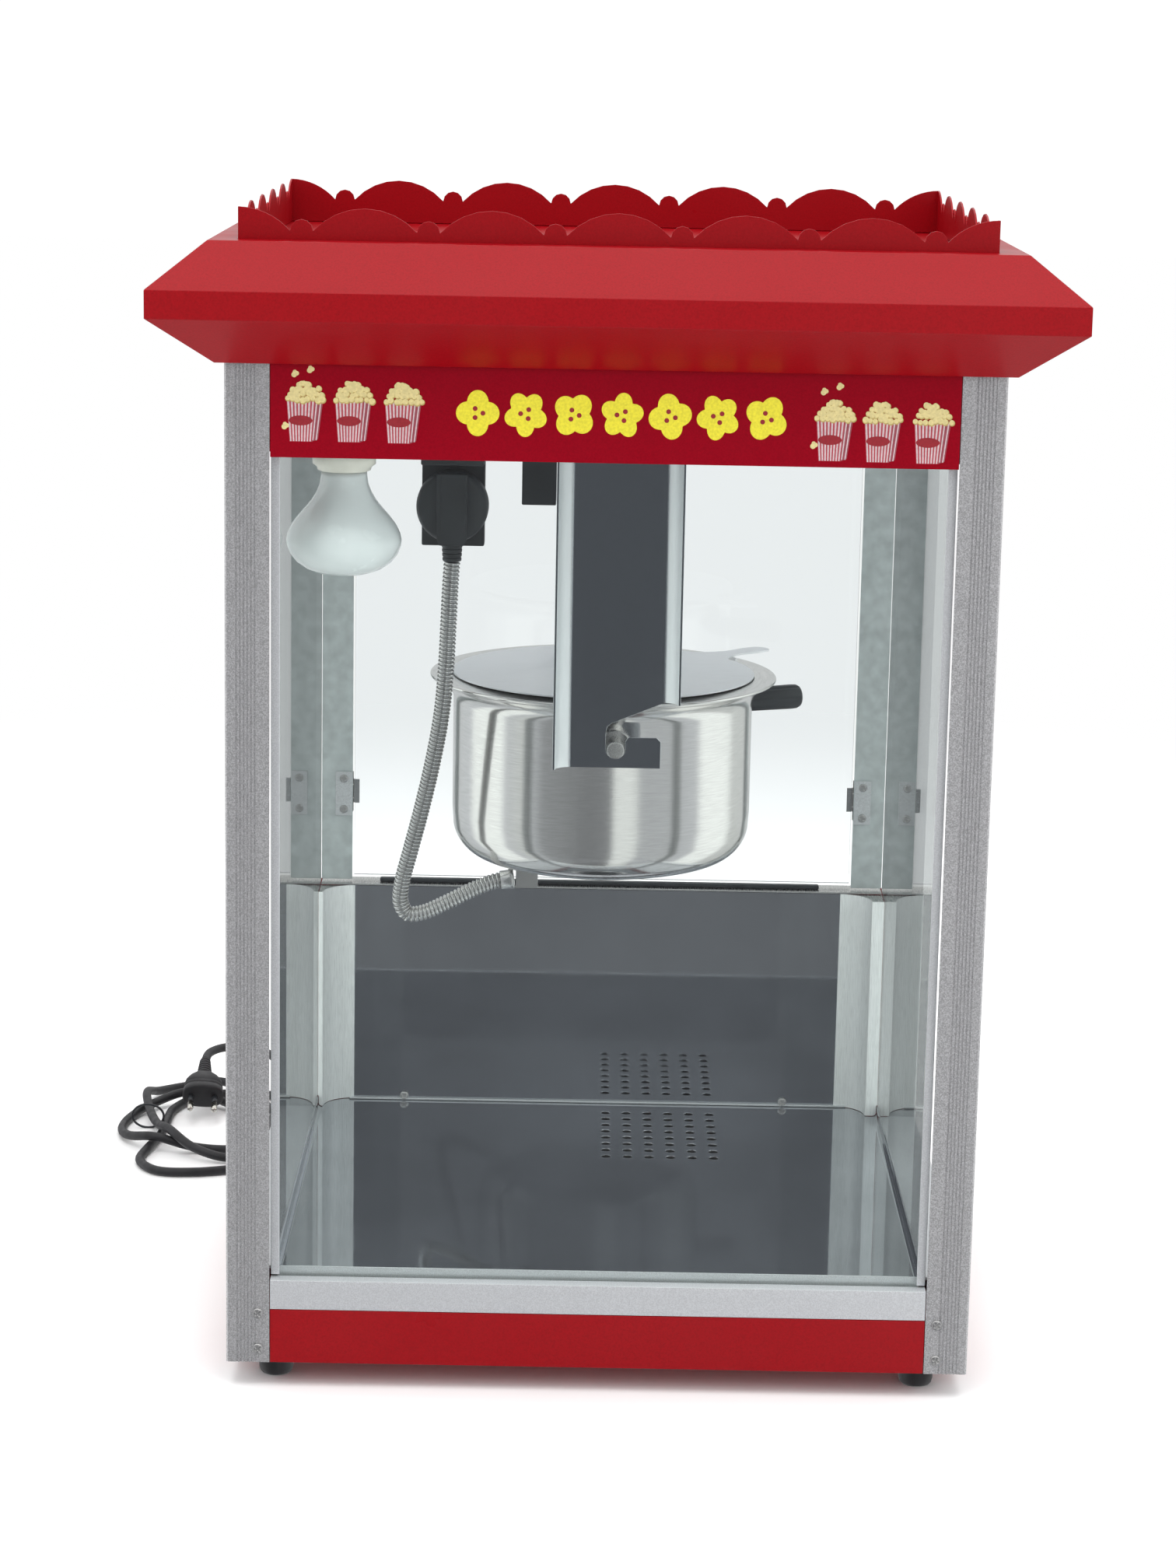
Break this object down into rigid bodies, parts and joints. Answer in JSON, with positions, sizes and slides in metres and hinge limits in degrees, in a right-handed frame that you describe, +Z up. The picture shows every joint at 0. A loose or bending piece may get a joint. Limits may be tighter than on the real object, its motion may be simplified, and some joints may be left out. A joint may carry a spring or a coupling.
{
  "type": "popcorn maker",
  "caption": "Cabinet popcorn maker with glazed sides, tilting lidded kettle on hangers, driven stirrer, rear doors, crumb drawer and scalloped canopy roof.",
  "frame": {"origin": "centre of the bounding box at the underside of the feet, without the mains cord and its plug", "axes": "+Z up, +Y from the front (sign side) towards the operator side at the rear, +X to the right as seen from the front"},
  "size_m": [0.6634, 0.7063, 0.7574],
  "materials": {
    "red_paint": "gloss powder coat",
    "sign_print": "printed gloss panel",
    "anodised_aluminium": "fine satin anodised, slightly sparkling",
    "window_glass": "clear float glass",
    "clear_acrylic": "clear acrylic sheet",
    "mirror_steel": "polished stainless steel",
    "brushed_steel": "brushed stainless steel",
    "steel_conduit": "interlocked flexible steel conduit",
    "white_enamel": "white enamel",
    "motor_casting": "cast metal",
    "ceramic": "glazed ceramic",
    "frosted_glass": "frosted glass bulb",
    "black_plastic": "satin moulded plastic",
    "black_rubber": "soft matt rubber"
  },
  "bodies": {
    "cabinet": {"base_rear_panel": "red_paint", "base_tray": "red_paint", "bin_floor": "mirror_steel", "bin_rear_wall": "mirror_steel", "canopy": "red_paint", "ceiling_plate": "white_enamel", "cord_gland": "black_rubber", "crest_front": "red_paint", "crest_left": "red_paint", "crest_rear": "red_paint", "crest_right": "red_paint", "foot_front_left": "black_rubber", "foot_front_right": "black_rubber", "foot_rear_left": "black_rubber", "foot_rear_right": "black_rubber", "front_glass": "window_glass", "front_rail": "anodised_aluminium", "gearmotor": "motor_casting", "hanger_front": "brushed_steel", "hanger_rear": "brushed_steel", "head_panel_left": "red_paint", "head_panel_right": "red_paint", "heat_lamp": "frosted_glass", "hinge_plate_left_lower": "brushed_steel", "hinge_plate_left_upper": "brushed_steel", "hinge_plate_right_lower": "brushed_steel", "hinge_plate_right_upper": "brushed_steel", "jamb_left": "anodised_aluminium", "jamb_right": "anodised_aluminium", "kettle_lead": "steel_conduit", "kettle_outlet": "black_plastic", "kettle_plug": "black_plastic", "lamp_socket": "ceramic", "limit_switch_box": "black_plastic", "mains_cord": "black_rubber", "mains_plug": "black_rubber", "post_front_left": "anodised_aluminium", "post_front_right": "anodised_aluminium", "post_rear_left": "anodised_aluminium", "post_rear_right": "anodised_aluminium", "rear_fascia": "red_paint", "roof_plate": "red_paint", "side_glass_left": "window_glass", "side_glass_right": "window_glass", "side_rail_left": "anodised_aluminium", "side_rail_right": "anodised_aluminium", "sign_panel": "sign_print"},
    "kettle": {"kettle_bowl": "brushed_steel", "kettle_base_cover": "brushed_steel", "kettle_handle": "black_plastic", "lid_fixed_half": "brushed_steel"},
    "lid_flap": {"lid_flap": "brushed_steel"},
    "stirrer": {"stirrer": "brushed_steel"},
    "drive_shaft": {"drive_shaft": "brushed_steel"},
    "door_left": {"door_left": "clear_acrylic"},
    "door_right": {"door_right": "clear_acrylic"},
    "crumb_drawer": {"crumb_drawer": "brushed_steel"},
    "switch_heat": {"switch_heat": "black_plastic"},
    "switch_motor": {"switch_motor": "black_plastic"},
    "switch_lamp": {"switch_lamp": "black_plastic"}
  },
  "joints": [
    {"name": "kettle_tilt", "type": "hinge", "parent": "cabinet", "child": "kettle", "pos_m": [0.005, 0.001, 0.4099], "axis": [0, 1, 0], "range_deg": [0, 100], "deforming": ["kettle_lead"]},
    {"name": "lid_flap_open", "type": "hinge", "parent": "kettle", "child": "lid_flap", "pos_m": [-0.0017, 0.001, 0.4395], "axis": [0, -1, 0], "range_deg": [0, 60]},
    {"name": "drive_spin", "type": "hinge", "parent": "cabinet", "child": "drive_shaft", "pos_m": [-0.003, 0.001, 0.607], "axis": [0, 0, 1], "continuous": true},
    {"name": "stirrer_spin", "type": "hinge", "parent": "kettle", "child": "stirrer", "pos_m": [-0.003, 0.001, 0.367], "axis": [0, 0, 1], "continuous": true},
    {"name": "door_left_swing", "type": "hinge", "parent": "cabinet", "child": "door_left", "pos_m": [-0.187, 0.198, 0.417], "axis": [0, 0, 1], "range_deg": [0, 110]},
    {"name": "door_right_swing", "type": "hinge", "parent": "cabinet", "child": "door_right", "pos_m": [0.187, 0.198, 0.417], "axis": [0, 0, -1], "range_deg": [0, 110]},
    {"name": "drawer_slide", "type": "slide", "parent": "cabinet", "child": "crumb_drawer", "axis": [0, 1, 0], "range_m": [0, 0.15]},
    {"name": "switch_heat_rock", "type": "hinge", "parent": "cabinet", "child": "switch_heat", "pos_m": [-0.046, 0.203, 0.634], "axis": [-1, 0, 0], "range_deg": [0, 14]},
    {"name": "switch_motor_rock", "type": "hinge", "parent": "cabinet", "child": "switch_motor", "pos_m": [0, 0.203, 0.634], "axis": [-1, 0, 0], "range_deg": [0, 14]},
    {"name": "switch_lamp_rock", "type": "hinge", "parent": "cabinet", "child": "switch_lamp", "pos_m": [0.046, 0.203, 0.634], "axis": [-1, 0, 0], "range_deg": [0, 14]}
  ],
  "couplings": [
    {"joint": "stirrer_spin", "follows": "drive_spin", "ratio": 1}
  ]
}
